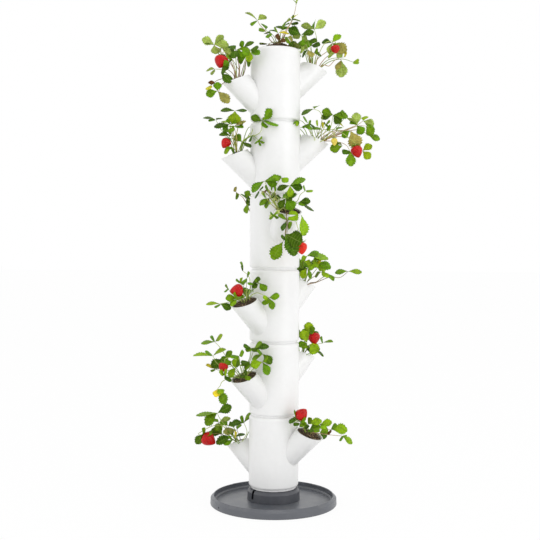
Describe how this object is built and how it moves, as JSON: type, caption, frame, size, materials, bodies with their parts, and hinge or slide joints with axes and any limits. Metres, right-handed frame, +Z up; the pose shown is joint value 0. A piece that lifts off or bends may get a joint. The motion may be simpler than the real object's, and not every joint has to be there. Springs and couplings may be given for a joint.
{
  "type": "vertical planter tower",
  "caption": "Stacked vertical planter tower with slanted planting pockets on opposite sides of each turning tier, planted with strawberries, on a round drip saucer.",
  "frame": {"origin": "on the column's axis, on the ground under the saucer", "axes": "+Z up along the column, -Y towards the viewer of the picture, +X to their right"},
  "size_m": [0.556, 0.3884, 1.514],
  "materials": {
    "anthracite_plastic": "moulded, fine matt grain",
    "white_plastic": "moulded, satin white",
    "potting_soil": "loose dark potting soil",
    "strawberry_leaf": "thin veined green leaves and stalks",
    "strawberry_fruit": "glossy red, dotted with seeds"
  },
  "bodies": {
    "base": {"saucer": "anthracite_plastic", "base_collar": "anthracite_plastic"},
    "tier_1": {"tower_module_1": "white_plastic", "soil_1": "potting_soil", "strawberry_1_high_berries": "strawberry_fruit", "strawberry_1_high_plant": "strawberry_leaf", "strawberry_1_low_berries": "strawberry_fruit", "strawberry_1_low_plant": "strawberry_leaf"},
    "tier_2": {"tower_module_2": "white_plastic", "soil_2": "potting_soil", "strawberry_2_high_berries": "strawberry_fruit", "strawberry_2_high_plant": "strawberry_leaf", "strawberry_2_low_berries": "strawberry_fruit", "strawberry_2_low_plant": "strawberry_leaf"},
    "tier_3": {"tower_module_3": "white_plastic", "soil_3": "potting_soil", "strawberry_3_high_plant": "strawberry_leaf", "strawberry_3_low_berries": "strawberry_fruit", "strawberry_3_low_plant": "strawberry_leaf"},
    "tier_4": {"tower_module_4": "white_plastic", "soil_4": "potting_soil", "strawberry_4_high_berries": "strawberry_fruit", "strawberry_4_high_plant": "strawberry_leaf", "strawberry_4_low_plant": "strawberry_leaf"},
    "tier_5": {"tower_module_5": "white_plastic", "soil_5": "potting_soil", "strawberry_5_high_berries": "strawberry_fruit", "strawberry_5_high_plant": "strawberry_leaf", "strawberry_5_low_berries": "strawberry_fruit", "strawberry_5_low_plant": "strawberry_leaf"},
    "tier_6": {"tower_module_6": "white_plastic", "soil_6": "potting_soil", "strawberry_6_high_berries": "strawberry_fruit", "strawberry_6_high_plant": "strawberry_leaf", "strawberry_6_low_berries": "strawberry_fruit", "strawberry_6_low_plant": "strawberry_leaf", "strawberry_6_top_plant": "strawberry_leaf"}
  },
  "joints": [
    {"name": "tier_1_turn", "type": "hinge", "parent": "base", "child": "tier_1", "pos_m": [0, 0, 0.05], "axis": [0, 0, 1], "continuous": true},
    {"name": "tier_2_turn", "type": "hinge", "parent": "tier_1", "child": "tier_2", "pos_m": [0, 0, 0.27], "axis": [0, 0, 1], "continuous": true},
    {"name": "tier_3_turn", "type": "hinge", "parent": "tier_2", "child": "tier_3", "pos_m": [0, 0, 0.49], "axis": [0, 0, 1], "continuous": true},
    {"name": "tier_4_turn", "type": "hinge", "parent": "tier_3", "child": "tier_4", "pos_m": [0, 0, 0.71], "axis": [0, 0, 1], "continuous": true},
    {"name": "tier_5_turn", "type": "hinge", "parent": "tier_4", "child": "tier_5", "pos_m": [0, 0, 0.93], "axis": [0, 0, 1], "continuous": true},
    {"name": "tier_6_turn", "type": "hinge", "parent": "tier_5", "child": "tier_6", "pos_m": [0, 0, 1.15], "axis": [0, 0, 1], "continuous": true}
  ]
}
